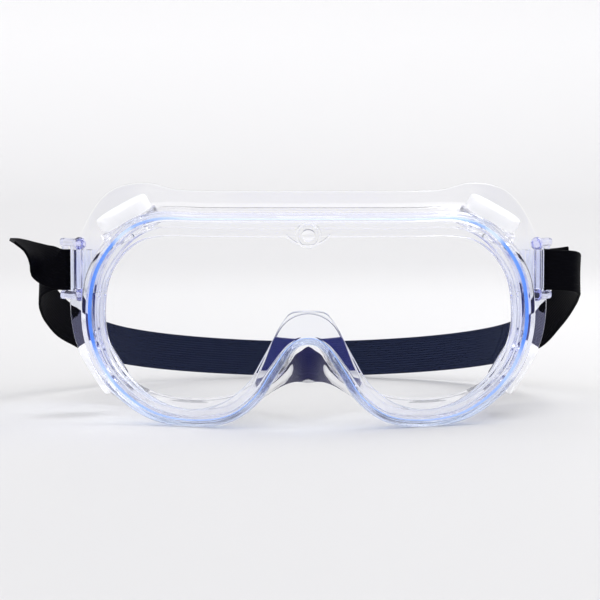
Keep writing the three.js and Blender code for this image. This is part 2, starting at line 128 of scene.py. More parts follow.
RINGS_PER_SPAN, LENS_POINTS_PER_SPAN, LENS_RINGS, BAND_RINGS_PER_SPAN = 8, 6, 26, 10

# Painted glow: how blue the lens's edge and its painted glow are, as (place in stations from the
# top, strength).
PALE_EDGE, STRONG_EDGE = (0.66, 0.78, 0.98), (0.07, 0.27, 0.88)
EDGE_PAINTED_GLOW = [
    (0, 0.05),
    (2.2, 0.1),
    (3.0, 0.55),
    (3.8, 0.7),
    (4.1, 0.1),
    (4.5, 0.1),
    (4.8, 0.95),
    (8.2, 1.0),
    (8.6, 0.35),
    (9.3, 0.35),
    (9.7, 0.6),
    (11.5, 0.4),
    (13.5, 0.4),
    (15.5, 0.45),
    (18, 0.4),
]

# Painted light: how blue the rim outside it is painted, standing in for light carried out of the
# lens's edge.
RIM_PAINTED_LIGHT = [
    (0, 0),
    (2.4, 0),
    (3.0, 0.35),
    (3.9, 0.35),
    (4.3, 0),
    (8.9, 0),
    (9.7, 0.6),
    (11, 0.9),
    (14, 0.8),
    (16, 0.9),
    (18, 1),
]
# Where on the section the rim's painted blue starts, out from the lens's edge, and the points it
# reaches.
GLOW_FROM = -0.1
RIM_POINTS = range(6, 16)

# Where the frame and its sheen are bluer, as (distance from the middle plane, share), and the
# heights between which the frame's blue fades out. The frame's blue is painted light: a tint
# painted into its base colour at the sides, standing in for the lavender light gives the side
# walls.
FRAME_PAINTED_BLUE = [(0, 0.1), (68, 0.05), (80, 1)]
SHEEN_BLUER = [(0, 1), (22, 0.9), (32, 0.12), (66, 0.12), (78, 1)]
BLUER_REACH, FRAME_PAINTED_BLUE_FADES = 100, (53, 63)

# The band's route, as (x, y, z, twist in degrees), in the same stretches as the CAD model.
LEFT_TAIL = [
    (-108.2, 52.6, 61.4, -88),
    (-104.4, 53.8, 59.8, -76),
    (-100.6, 55.2, 56.8, -56),
    (-97.8, 56, 54.2, -32),
    (-94.3, 56.1, 51.6, -4),
]
LEFT_STRETCH = [
    (-93.4, 62.2, 50.2, 0),
    (-97.5, 64.7, 49.3, 0),
    (-100.3, 68.7, 47.3, 0),
    (-101.2, 74.5, 43.6, 0),
    (-100.6, 80.5, 38.8, 0),
    (-98.6, 87, 33.8, 0),
    (-95.7, 93.5, 29.2, 0),
]
BACK_STRETCH = [
    (91.2, 101.5, 25.2, 0),
    (86, 110, 21, 0),
    (79, 119, 17.4, 0),
    (67.5, 130.5, 13.9, 0),
    (51.5, 141.5, 10.9, 0),
    (33, 149.3, 8.8, 0),
    (15, 153, 7.7, 0),
]
BACK_MIDDLE = (0, 154, 7.6, 0)
RIGHT_STRETCH = [
    (94, 58.6, 50.2, 0),
    (98.2, 60.3, 49.8, 0),
    (100.8, 64.4, 48.6, 0),
    (101.2, 70.5, 46.2, 0),
    (100.4, 77.5, 42.4, 0),
    (98.6, 85, 37.6, 0),
    (95.8, 92.3, 32.4, 0),
]
RIGHT_TAIL = [
    (93.5, 63.8, 50.9, 0),
    (97.6, 64.9, 51.4, 0),
]


# ---------------------------------------------------------------- curves and frames of reference

class Spline:
    """A centripetal Catmull-Rom curve through the points, over t = 0 to 1."""

    def __init__(self, points, closed):
        self.points = [Vector(p) for p in points]
        self.closed = closed
        self.spans = len(self.points) if closed else len(self.points) - 1

    def knot(self, i):
        points, n = self.points, len(self.points)
        if self.closed:
            return points[i % n]
        if i < 0:
            return 2 * points[0] - points[1]
        if i >= n:
            return 2 * points[-1] - points[-2]
        return points[i]

    def at(self, t):
        place = (t % 1.0 if self.closed else min(max(t, 0.0), 1.0)) * self.spans
        i = min(int(place), self.spans - 1)
        u = place - i
        p0, p1, p2, p3 = (self.knot(i + k) for k in (-1, 0, 1, 2))
        d0, d1, d2 = (math.sqrt((b - a).length) for a, b in ((p0, p1), (p1, p2), (p2, p3)))
        m1 = ((p1 - p0) / d0 - (p2 - p0) / (d0 + d1) + (p2 - p1) / d1) * d1
        m2 = ((p2 - p1) / d1 - (p3 - p1) / (d1 + d2) + (p3 - p2) / d2) * d1
        return (
            p1
            + m1 * u
            + (-3 * p1 + 3 * p2 - 2 * m1 - m2) * u * u
            + (2 * p1 - 2 * p2 + m1 + m2) * u * u * u
        )

    def along(self, t, step=1e-3):
        return (self.at(t + step) - self.at(t - step)).normalized()


def outline(index):
    """The whole loop of one outline, clockwise from the top as the viewer sees it."""
    right = [station[index] for station in STATIONS]
    left = [(-x, z) for x, z in reversed(right[1:-1])]
    return Spline([(x, 0, z) for x, z in right + left], closed=True)


lens_edge, lip_edge, wall_edge, flange_edge = (outline(i) for i in range(4))


def sweep_back(radius, x):
    """How far back a cylinder about a vertical axis has curved at x."""
    return radius - math.sqrt(radius * radius - x * x)


def behind_lens(x, z, d):
    """The point d behind the lens's front surface, square to it."""
    y = sweep_back(LENS_RADIUS, x)
    return Vector((x * (1 - d / LENS_RADIUS), y + (LENS_RADIUS - y) * d / LENS_RADIUS, z))


def near_face(point, y):
    return Vector((point.x, y + sweep_back(FACE_RADIUS, point.x), point.z))


def outward(curve, t):
    tangent = curve.along(t)
    return Vector((-tangent.z, 0, tangent.x))


def to_frame():
    """From millimetres in the part's own coordinates to metres in the row frame."""
    return Matrix.Scale(MM, 4) @ Matrix.Translation((0, -ORIGIN_Y, 0))


# ------------------------------------------------------------------------------- mesh building

def loft(rings, looped=False):
    """Skins a row of equal rings of points: (vertices, faces)."""
    size, count = len(rings[0]), len(rings)
    faces = []
    for i in range(count if looped else count - 1):
        here, there = i * size, (i + 1) % count * size
        for k in range(size):
            after = (k + 1) % size
            faces.append((here + k, there + k, there + after, here + after))
    if not looped:
        faces.append(tuple(range(size)))
        faces.append(tuple(reversed(range((count - 1) * size, count * size))))
    return [p for ring in rings for p in ring], faces


def moved(solid, matrix):
    points, faces = solid
    if matrix.determinant() < 0:
        faces = [tuple(reversed(f)) for f in faces]
    return [matrix @ Vector(p) for p in points], faces


def stadium_ring(length, width, z, arc=12):
    """A flat bar's outline with round ends, its length along x."""
    r, reach = width / 2, (length - width) / 2
    ring = []
    for side in (1, -1):
        for i in range(arc + 1):
            a = (-0.5 + i / arc) * math.pi + (0 if side > 0 else math.pi)
            ring.append(Vector((side * reach + r * math.cos(a), r * math.sin(a), z)))
    return ring


def round_ring(radius, z, sides=32):
    angles = [2 * math.pi * i / sides for i in range(sides)]
    return [Vector((radius * math.cos(a), radius * math.sin(a), z)) for a in angles]


def soft_ends(low, high, soft, steps=4):
    """(inset, z) pairs up a bar from low to high, with both edges rounded by soft."""
    quarter = [math.pi / 2 * i / steps for i in range(steps + 1)]
    bottom = [(soft * (1 - math.sin(a)), low + soft * (1 - math.cos(a))) for a in quarter]
    top = [(soft * (1 - math.cos(a)), high - soft * (1 - math.sin(a))) for a in quarter]
    return bottom + top


def bar(length, width, low, high, soft=0.0):
    """A flat bar with round ends, from z = low to z = high."""
    if not soft:
        return loft([stadium_ring(length, width, z) for z in (low, high)])
    rows = soft_ends(low, high, soft)
    return loft([stadium_ring(length - 2 * inset, width - 2 * inset, z) for inset, z in rows])


def rod(radius, low, high, soft=0.0, sides=32):
    if not soft:
        return loft([round_ring(radius, z, sides) for z in (low, high)])
    return loft([round_ring(radius - inset, z, sides) for inset, z in soft_ends(low, high, soft)])


def hoop(radius, thickness, centre_z, start=0.0, end=2 * math.pi, sides=40, around=10):
    """A round bar bent into a ring about the z axis, or into part of one."""
    rings = []
    whole = end - start >= 2 * math.pi
    for i in range(sides if whole else sides + 1):
        a = start + (end - start) * i / sides
        rings.append([
            Vector((
                (radius + p.x) * math.cos(a),
                (radius + p.x) * math.sin(a),
                centre_z + p.y,
            ))
            for p in round_ring(thickness / 2, 0, around)
        ])
    return loft(rings, looped=whole)


def ball(radius, centre_z, rows=12, sides=24):
    angles = [math.pi * (i + 0.5) / rows - math.pi / 2 for i in range(rows)]
    return loft([
        round_ring(radius * math.cos(a), centre_z + radius * math.sin(a), sides) for a in angles
    ])


def box(low, high):
    (x0, y0, z0), (x1, y1, z1) = low, high
    ring = [(x0, y0), (x1, y0), (x1, y1), (x0, y1)]
    return loft([[Vector((x, y, z)) for x, y in ring] for z in (z0, z1)])


def make(name, solid):
    """A mesh object in millimetres, its faces pointing out."""
    mesh = bpy.data.meshes.new(name)
    mesh.from_pydata([tuple(p) for p in solid[0]], [], solid[1])
    shaped = bmesh.new()
    shaped.from_mesh(mesh)
    bmesh.ops.recalc_face_normals(shaped, faces=shaped.faces)
    shaped.to_mesh(mesh)
    shaped.free()
    made = bpy.data.objects.new(name, mesh)
    bpy.context.scene.collection.objects.link(made)
    return made


def cut(target, solids, operation):
    """Joins solids to the target or takes them off it."""
    for i, solid in enumerate(solids):
        tool = make(f"{target.name}_tool_{i}", solid)
        step = target.modifiers.new("cut", "BOOLEAN")
        step.operation, step.solver, step.object = operation, "EXACT", tool
        bpy.context.view_layer.update()
        shaped = target.evaluated_get(bpy.context.evaluated_depsgraph_get())
        old, target.data = target.data, bpy.data.meshes.new_from_object(shaped)
        target.modifiers.clear()
        bpy.data.meshes.remove(old)
        bpy.data.objects.remove(tool)
    return target


def finished(made, material, body, node=None, crease=38):
    """Moves a piece to the row frame and gives it its shading, material and body."""
    made.data.validate()
    made.data.transform(to_frame())
    made.data.polygons.foreach_set("use_smooth", [True] * len(made.data.polygons))
    made.data.set_sharp_from_angle(angle=math.radians(crease))
    weighted = made.modifiers.new("flat faces stay flat", "WEIGHTED_NORMAL")
    weighted.keep_sharp = True
    if not made.data.materials:
        made.data.materials.append(material)
    if body:
        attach(made, body)
    if node:
        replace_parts(made, node)
    return made


# ----------------------------------------------------------------------------------- materials

def principled(name, **inputs):
    """A material whose shader inputs are named with _ for a space."""
    material = bpy.data.materials.new(name)
    material.use_nodes = True
    shader = material.node_tree.nodes["Principled BSDF"]
    for key, value in inputs.items():
        shader.inputs[key.replace("_", " ")].default_value = value
    return material


def coordinates(tree, kind):
    """The X, Y and Z of one kind of texture coordinate."""
    place = tree.nodes.new("ShaderNodeTexCoord")
    split = tree.nodes.new("ShaderNodeSeparateXYZ")
    tree.links.new(place.outputs[kind], split.inputs["Vector"])
    return split.outputs


def calculated(tree, operation, *values):
    step = tree.nodes.new("ShaderNodeMath")
    step.operation = operation
    for i, value in enumerate(values):
        tree.links.new(value, step.inputs[i])
    return step.outputs[0]


def ranged(tree, value, start, end, low=0.0, high=1.0):
    """A number from low to high, as the value goes from start to end."""
    step = tree.nodes.new("ShaderNodeMapRange")
    ends = {"From Min": start, "From Max": end, "To Min": low, "To Max": high}
    for key, number in ends.items():
        step.inputs[key].default_value = number
    tree.links.new(value, step.inputs["Value"])
    return step.outputs["Result"]


def ramped(tree, value, stops):
    """The colour at the value, 0 to 1, on a ramp through stops of (value, colour)."""
    ramp = tree.nodes.new("ShaderNodeValToRGB")
    elements = ramp.color_ramp.elements
    while len(elements) < len(stops):
        elements.new(0.5)
    for element, (place, color) in zip(elements, stops):
        element.position, element.color = place, (*color, 1)
    tree.links.new(value, ramp.inputs["Fac"])
    return ramp.outputs["Color"]


def mixed(tree, factor, a, b):
    """A colour between a and b, each a socket or a colour."""
    mix = tree.nodes.new("ShaderNodeMix")
    mix.data_type = "RGBA"
    tree.links.new(factor, mix.inputs["Factor"])
    for key, value in (("A", a), ("B", b)):
        if isinstance(value, tuple):
            mix.inputs[key].default_value = (*value, 1)
        else:
            tree.links.new(value, mix.inputs[key])
    return mix.outputs["Result"]


def tint_by_depth(material, color, density):
    """Colours the light by how far it travels inside the piece."""
    nodes, links = material.node_tree.nodes, material.node_tree.links
    volume = nodes.new("ShaderNodeVolumeAbsorption")
    volume.inputs["Color"].default_value = (*color, 1)
    volume.inputs["Density"].default_value = density
    links.new(volume.outputs["Volume"], nodes["Material Output"].inputs["Volume"])
    return material


def lets_light_past(material, color):
    """Lets the lights shine through the piece onto what is behind it."""
    nodes, links = material.node_tree.nodes, material.node_tree.links
    ray = nodes.new("ShaderNodeLightPath")
    clear = nodes.new("ShaderNodeBsdfTransparent")
    clear.inputs["Color"].default_value = (*color, 1)
    either = nodes.new("ShaderNodeMixShader")
    links.new(ray.outputs["Is Shadow Ray"], either.inputs["Fac"])
    links.new(nodes["Principled BSDF"].outputs["BSDF"], either.inputs[1])
    links.new(clear.outputs["BSDF"], either.inputs[2])
    links.new(either.outputs["Shader"], nodes["Material Output"].inputs["Surface"])
    return material


def add_bump(material, height, strength, distance):
    """Turns a height into small bumps, distance in metres."""
    nodes, links = material.node_tree.nodes, material.node_tree.links
    bump = nodes.new("ShaderNodeBump")
    bump.inputs["Strength"].default_value = strength
    bump.inputs["Distance"].default_value = distance
    links.new(height, bump.inputs["Height"])
    links.new(bump.outputs["Normal"], nodes["Principled BSDF"].inputs["Normal"])


def noise(material, scale):
    """Soft specks over the piece, scale of them to a metre."""
    nodes, links = material.node_tree.nodes, material.node_tree.links
    place = nodes.new("ShaderNodeTexCoord")
    texture = nodes.new("ShaderNodeTexNoise")
    texture.inputs["Scale"].default_value = scale
    links.new(place.outputs["Object"], texture.inputs["Vector"])
    return texture.outputs["Fac"]


def bluer_at(tree, stops, fades=None):
    """A factor that follows stops of (distance from the middle plane, factor), and that can fade
    out between two heights."""
    place = coordinates(tree, "Object")
    aside = ranged(tree, calculated(tree, "ABSOLUTE", place["X"]), 0, BLUER_REACH * MM)
    factor = ramped(tree, aside, [(away / BLUER_REACH, (share,) * 3) for away, share in stops])
    if not fades:
        return factor
    low, high = fades
    return calculated(tree, "MULTIPLY", factor, ranged(tree, place["Z"], high * MM, low * MM))


def soft_pvc():
    """Clear PVC, with painted light: painted blue where the rim carries light out of the lens's
    edge.
    """
    material = principled(
        "soft clear pvc",
        IOR=1.48,
        Transmission_Weight=1.0,
    )
    tree = material.node_tree
    shader = tree.nodes["Principled BSDF"].inputs
    share = tree.nodes.new("ShaderNodeAttribute")
    share.attribute_name = "painted_edge_light"
    # Painted light: the base colour is painted bluer at the sides, fading out towards the top.
    bluer = bluer_at(tree, FRAME_PAINTED_BLUE, FRAME_PAINTED_BLUE_FADES)
    plain = mixed(tree, bluer, (0.993, 0.994, 1), (0.84, 0.87, 1))
    base = mixed(tree, share.outputs["Fac"], plain, (0.6, 0.74, 1))
    sheen = mixed(tree, bluer_at(tree, SHEEN_BLUER), (0.75, 0.77, 1), (0.12, 0.13, 1))
    roughness = ranged(tree, share.outputs["Fac"], 0, 1, 0.02, 0.22)
    tree.links.new(base, shader["Base Color"])
    tree.links.new(sheen, shader["Specular Tint"])
    tree.links.new(roughness, shader["Roughness"])
    tint_by_depth(material, (0.30, 0.38, 0.97), density=4)
    return lets_light_past(material, (0.96, 0.965, 0.995))


def lens_polycarbonate():
    """Clear sheet with a coating that keeps reflections low and blue."""
    material = principled(
        "lens polycarbonate",
        Base_Color=(1, 1, 1, 1),
        Roughness=0.0,
        IOR=1.36,
        Transmission_Weight=1.0,
        Specular_Tint=(0.3, 0.42, 1, 1),
    )
    tint_by_depth(material, (0.25, 0.5, 1.0), density=6)
    return lets_light_past(material, (0.97, 0.97, 0.99))


def lens_edge_painted_glow():
    """The cut edge of the lens, with a painted glow: a blue emission, though the edge is no lamp,
    stands in for light that has run along inside the sheet and comes out blue.
    """
    material = principled(
        "lens cut edge",
        Roughness=0.25,
        IOR=1.585,
        Transmission_Weight=0.35,
        Emission_Strength=0.35,
    )
    nodes, links = material.node_tree.nodes, material.node_tree.links
    painted_glow = nodes.new("ShaderNodeVertexColor")
    painted_glow.layer_name = "painted_glow"
    for socket in ("Base Color", "Emission Color"):
        links.new(painted_glow.outputs["Color"], nodes["Principled BSDF"].inputs[socket])
    return material


def cap_plastic_with_painted_glow():
    """Milky moulded plastic with a faint mould texture and a painted glow: a faint white emission,
    though it is no lamp, makes it brighter.
    """
    material = principled(
        "vent cap plastic with painted glow",
        Base_Color=(0.9, 0.9, 0.905, 1),
        Roughness=0.4,
        IOR=1.45,
        Transmission_Weight=0.55,
        Emission_Color=(1, 1, 1, 1),
        Emission_Strength=0.15,
    )
    add_bump(material, noise(material, scale=900), strength=0.15, distance=0.2 * MM)
    return material


def clip_plastic():
    """Clear hard plastic, bluer where it is thicker."""
    material = principled(
        "clip plastic",
        Base_Color=(0.93, 0.935, 1, 1),
        Roughness=0.03,
        IOR=1.55,
        Transmission_Weight=1.0,
        Specular_Tint=(0.7, 0.72, 1, 1),
    )
    tint_by_depth(material, (0.25, 0.3, 0.97), density=25)
    return lets_light_past(material, (0.94, 0.945, 0.99))


def elastic():
    """Black ribbed elastic. Its UV map holds metres along and across the band."""
    yarn_along, yarn_across = 1.2 * MM, 0.5 * MM
    material = principled(
        "black elastic",
        Base_Color=(0.0016, 0.0016, 0.003, 1),
        Roughness=0.55,
        Specular_IOR_Level=0.03,
    )
    nodes, links = material.node_tree.nodes, material.node_tree.links
    place = nodes.new("ShaderNodeUVMap")
    place.uv_map = "weave"
    stretch = nodes.new("ShaderNodeMapping")
    stretch.inputs["Scale"].default_value = (1 / yarn_along, 1 / yarn_across, 1)
    links.new(place.outputs["UV"], stretch.inputs["Vector"])
    weave = nodes.new("ShaderNodeTexChecker")
    weave.inputs["Scale"].default_value = 1.0
    links.new(stretch.outputs["Vector"], weave.inputs["Vector"])
    add_bump(material, weave.outputs["Fac"], strength=0.06, distance=0.1 * MM)
    return material


PVC = soft_pvc()
LENS = lens_polycarbonate()
LENS_EDGE = lens_edge_painted_glow()
CAP_CLEAR = cap_plastic_with_painted_glow()
CLIP_CLEAR = clip_plastic()
ELASTIC = elastic()


# --------------------------------------------------------------------------------------- frame

def rounded(corners, steps=3):
    """A ring through the corners, each (point, radius) cut by a smooth arc of steps + 1 points."""
    ring = []
    for i, (point, radius) in enumerate(corners):
        before, after = corners[i - 1][0] - point, corners[(i + 1) % len(corners)][0] - point
        r = min(radius, 0.45 * before.length, 0.45 * after.length)
        start, end = point + before.normalized() * r, point + after.normalized() * r
        for k in range(steps + 1):
            u = k / steps
            ring.append(start * (1 - u) ** 2 + point * 2 * u * (1 - u) + end * u * u)
    return ring


def along_table(table, t):
    """The value at t of a table of (place in stations from the top, value)."""
    station = t * SPANS if t <= 0.5 else (1 - t) * SPANS
    for (start, low), (end, high) in zip(table, table[1:]):
        if station <= end:
            return low + (high - low) * (station - start) / (end - start)
    return table[-1][1]


def nose_share(t):
    """How much of the nose's forward set the place t has: 1 in the middle of the nose, 0 off it."""
    away = min(abs(t - 0.5) * SPANS / NOSE_SPANS, 1)
    return math.cos(away * math.pi / 2) ** 2


def frame_section(t):
    """The frame's section at t: from the lip's edge over the rim, down the side wall, round the
    flange and back up inside to the lens's groove."""
    edge, edge_out = lens_edge.at(t), outward(lens_edge, t)
    lip, wall, flange = lip_edge.at(t), wall_edge.at(t), flange_edge.at(t)
    share = nose_share(t)
    thickness = WALL_THICKNESS - NOSE_WALL_THINNER * share
    wall_inside = wall - outward(wall_edge, t) * thickness
    front, groove_back = -FIT_GAP - LIP_THICKNESS, LENS_THICKNESS + FIT_GAP
    back_lip = groove_back + LENS_THICKNESS
    wall_y = WALL_BACK_Y - NOSE_WALL_FORWARD * share
    flange_y = FLANGE_BACK_Y - NOSE_FLANGE_FORWARD * share
    back_lip_reach = BACK_LIP_REACH + NOSE_LIP_LONGER * share

    def near_lens(reach, d):
        point = edge + edge_out * reach
        return behind_lens(point.x, point.z, d)

    middle, middle_y = (wall + flange) / 2, (wall_y + flange_y) / 2 - FLANGE_DISH
    return rounded([
        (behind_lens(lip.x, lip.z, front), 0.6),
        (near_lens(GLOW_FROM, front), 0.1),
        (near_lens(RIM_REACH, front), 1.1),
        (near_lens(RIM_REACH, RIM_DEPTH), 0.4),
        (near_lens(RIM_REACH - RIM_STEP, RIM_DEPTH), 0.25),
        (near_face(wall, wall_y - FLANGE_THICKNESS), 2.2),
        (near_face(middle, middle_y - FLANGE_THICKNESS), 3.0),
        (near_face(flange, flange_y - FLANGE_THICKNESS), 0.6),
        (near_face(flange, flange_y), 0.6),
        (near_face(middle, middle_y), 3.0),
        (near_face(wall_inside, wall_y - FLANGE_THICKNESS / 4), 2.4),
        (near_lens(RIM_REACH - RIM_STEP - thickness, back_lip), 0.9),
        (near_lens(-back_lip_reach, back_lip), 0.6),
        (near_lens(-back_lip_reach, groove_back), 0.4),
        (near_lens(EDGE_GAP, groove_back), 0.15),
        (near_lens(EDGE_GAP, -FIT_GAP), 0.15),
        (behind_lens(lip.x, lip.z, -FIT_GAP), 0.5),
    ])


def on_wall(station, side, towards_up):
    """A frame of reference on the side wall's outside: x along its edge, y to the back, z out and
    turned towards straight up."""
    t = (station if side > 0 else SPANS - station) / SPANS
    edge, out = lens_edge.at(t), outward(lens_edge, t)
    rim = edge + out * (RIM_REACH - RIM_STEP)
    front = behind_lens(rim.x, rim.z, RIM_DEPTH)
    back = near_face(wall_edge.at(t), WALL_BACK_Y - FLANGE_THICKNESS)
    to_back = (back - front).normalized()
    out = (out - to_back * out.dot(to_back)).normalized()
    out.rotate(Matrix.Rotation(-side * towards_up, 3, to_back))
    place = Matrix((to_back.cross(out), to_back, out)).transposed().to_4x4()
    place.translation = front.lerp(back, VENT_BACK_SHARE)
    return place


VENTS = [
    (f"vent_cap_{height}_{name}", on_wall(station, side, VENT_TOWARDS_UP[height]))
    for height, station in VENT_STATIONS.items()
    for name, side in (("left", -1), ("right", 1))
]


def on_lip(x, z, solid):
    """A solid made along +z, stood out of the lip at (x, z)."""
    stand = Matrix.Rotation(math.pi / 2, 4, "X")
    turn = Matrix.Rotation(math.asin(x / LENS_RADIUS), 4, "Z") @ stand
    foot = behind_lens(x, z, -FIT_GAP - LIP_THICKNESS / 2)
    return moved(solid, Matrix.Translation(foot) @ turn)


def top_tab():
    """The tab that hangs from the lip at the top, with its ring and stepped button."""
    half = [
        Vector((TAB_RADIUS * math.cos(a), 0, TAB_CENTRE_Z + TAB_RADIUS * math.sin(a)))
        for a in (math.pi + math.pi * i / 24 for i in range(25))
    ]
    front = -FIT_GAP - LIP_THICKNESS
    tab = loft([[p + Vector((0, y, 0)) for p in half] for y in (front, -FIT_GAP)])
    flattened = Matrix.Diagonal((1, 1, BUTTON["dome_flat"], 1))
    dome = moved(
        ball(BUTTON["radius"], 0), Matrix.Translation((0, 0, BUTTON["dome_from"])) @ flattened
    )
    shapes = [
        hoop(BUTTON_RING["radius"], BUTTON_RING["thickness"], BUTTON_RING["height"]),
        rod(BUTTON["radius"], 0, BUTTON["height"], BUTTON["soft"]),
        dome,
    ]
    bead = hoop(
        TAB_RADIUS - TAB_BEAD["inset"],
        TAB_BEAD["thickness"],
        TAB_BEAD["height"],
        -math.pi / 2 - TAB_BEAD["half_turn"],
        -math.pi / 2 + TAB_BEAD["half_turn"],
    )
    return [tab, on_lip(0, TAB_CENTRE_Z, bead)] + [on_lip(0, BUTTON_Z, shape) for shape in shapes]


def rest_angle(side):
    return LEFT_REST_ANGLE if side < 0 else RIGHT_REST_ANGLE


def lug(side):
    """(solids, cutters) of the lug that the clip's front bar snaps into."""
    half = LUG["height"] / 2
    body = [
        rod(LUG["radius"], -half, half, LUG["soft"]),
        box((-LUG["arm"], -LUG["arm_width"] / 2, -half), (0, LUG["arm_width"] / 2, half)),
        moved(
            rod(LUG_RIB["radius"], -half, half, LUG["soft"]),
            Matrix.Translation((-LUG_RIB["inward"], -LUG_RIB["forward"], 0)),
        ),
    ]
    cutters = [
        rod(LUG["bore"], -half - PAST, half + PAST),
        box(
            (-LUG["slit"] / 2, -LUG["radius"] - PAST, -half - PAST),
            (LUG["slit"] / 2, 0, half + PAST),
        ),
    ]
    x, y, z = CLIP_PIVOT
    place = Matrix.Translation((side * x, y, z))
    if side < 0:
        place = place @ Matrix.Rotation(math.pi, 4, "Y")
    return [moved(s, place) for s in body], [moved(s, place) for s in cutters]


def make_frame():
    count = SPANS * RINGS_PER_SPAN
    rings = [frame_section(i / count) for i in range(count)]
    shell = make("mask_frame", loft(rings, looped=True))
    # Painted light: the rim's blue, painted point by point where it carries light out of the lens's
    # edge.
    painted_edge_light = shell.data.attributes.new("painted_edge_light", "FLOAT", "POINT")
    for i in range(len(shell.data.vertices)):
        ring, k = divmod(i, len(rings[0]))
        if k in RIM_POINTS:
            painted_edge_light.data[i].value = along_table(RIM_PAINTED_LIGHT, ring / count)
    lugs = [lug(1), lug(-1)]
    studs = [
        on_lip(side * x, z, rod(STUD["radius"], 0, STUD["height"], STUD["soft"]))
        for x, z in STUD_PLACES
        for side in (1, -1)
    ]
    top = BOSS["above"] + COLLAR["height"]
    inside = (COLLAR["length"] - 2 * COLLAR["wall"], COLLAR["width"] - 2 * COLLAR["wall"])
    boss = bar(BOSS["length"], BOSS["width"], -BOSS["below"], BOSS["above"], BOSS["soft"])
    collar = bar(COLLAR["length"], COLLAR["width"], 0, top, COLLAR["soft"])
    port = bar(*inside, -2 * BOSS["below"], top + PAST)
    bosses, collars, ports = (
        [moved(solid, place) for _, place in VENTS] for solid in (boss, collar, port)
    )
    added = [solid for solids, _ in lugs for solid in solids]
    taken = [solid for _, cutters in lugs for solid in cutters]
    cut(shell, top_tab() + studs + bosses + collars + added, "UNION")
    cut(shell, ports + taken + [box(*BELOW_FLOOR)], "DIFFERENCE")
    return finished(shell, PVC, "mask", "frame")


# ---------------------------------------------------------------------------------------- lens

def edge_painted_glow(t):
    """The colour of the lens's edge and of its painted glow at t: strong at the sides, pale over
    the vents and the nose.
    """
    strength = along_table(EDGE_PAINTED_GLOW, t)
    color = (pale + (strong - pale) * strength for pale, strong in zip(PALE_EDGE, STRONG_EDGE))
    return (*color, 1)


def make_lens():
    """One curved sheet, filled in rings from its outline towards a point in its middle."""
    around, inward = SPANS * LENS_POINTS_PER_SPAN, LENS_RINGS
    middle = Vector((0, 0, LENS_MIDDLE_Z))
    soft = LENS_EDGE_SOFT
    flat = [lens_edge.at(i / around) for i in range(around)]

    def glow_width(x):
        return LENS_EDGE_GLOW_WIDTH + LENS_EDGE_GLOW_WIDER * (abs(x) / LENS_HALF_WIDTH) ** 2

    def ring(share, d, inset=lambda x: 0.0):
        points = []
        for i, p in enumerate(flat):
            q = middle + (p - outward(lens_edge, i / around) * inset(p.x) - middle) * share
            points.append(behind_lens(q.x, q.z, d))
        return points

    shares = [1 - (k / inward) for k in range(1, inward)]
    front = [ring(1, 0, lambda x: soft), ring(1, 0, glow_width)] + [ring(s, 0) for s in shares]
    sides = [ring(1, soft), ring(1, LENS_THICKNESS - soft)]
    back = [ring(1, LENS_THICKNESS, lambda x: soft)] + [ring(s, LENS_THICKNESS) for s in shares]
    rings = front[::-1] + sides + back
    made = make("wrap_lens", loft(rings))
    made.data.materials.append(LENS)
    made.data.materials.append(LENS_EDGE)
    first_edge_row, edge_rows = len(front) - 2, len(sides) + 2
    for polygon in made.data.polygons:
        row = min(polygon.vertices) // around - first_edge_row
        if 0 <= row < edge_rows and len(polygon.vertices) == 4:
            polygon.material_index = 1
    # Painted glow: the blue the lens's edge is painted and glows with, point by point.
    painted_glow = made.data.color_attributes.new("painted_glow", "FLOAT_COLOR", "POINT")
    for i in range(len(made.data.vertices)):
        painted_glow.data[i].color = edge_painted_glow((i % around) / around)
    return finished(made, LENS, "mask", "lens", crease=50)


# ----------------------------------------------------------------------------------- vent caps

def make_cap(name, place):
    low = BOSS["above"] + FIT_GAP
    high = low + CAP["height"]
    length, width, wall = CAP["length"], CAP["width"], CAP["wall"]
    steps = 6
    rounded_top = soft_ends(low, high, CAP["round"], steps)[steps + 1:]
    rows = [(0.0, low)] + rounded_top + [(CAP["crown_inset"], high + CAP["crown"])]
    lid = make(f"{name}_cover", loft([
        stadium_ring(length - 2 * inset, width - 2 * inset, z, 16) for inset, z in rows
    ]))
    hollow = bar(length - 2 * wall, width - 2 * wall, low - PAST, high - wall)
    slots = []
    reach, top = CAP_SLOT["width"] / 2, low + CAP_SLOT["height"]
    for i in range(CAP_SLOT["count"]):
        x = (i - (CAP_SLOT["count"] - 1) / 2) * CAP_SLOT["pitch"]
        slots.append(box((x - reach, 0, low - PAST), (x + reach, width, top)))
    cut(lid, [hollow] + slots, "DIFFERENCE")
    pegs = []
    for side in (-1, 1):
        ends = sorted((side * (COLLAR["length"] / 2 + FIT_GAP), side * (length / 2 - wall / 2)))
        half = CAP_PEG_WIDTH / 2
        pegs.append(box((ends[0], -half, low), (ends[1], half, high - wall / 2)))
    cut(lid, pegs, "UNION")
    lid.data.transform(place)
    return finished(lid, CAP_CLEAR, "mask", name)


# --------------------------------------------------------------------------------- strap clips

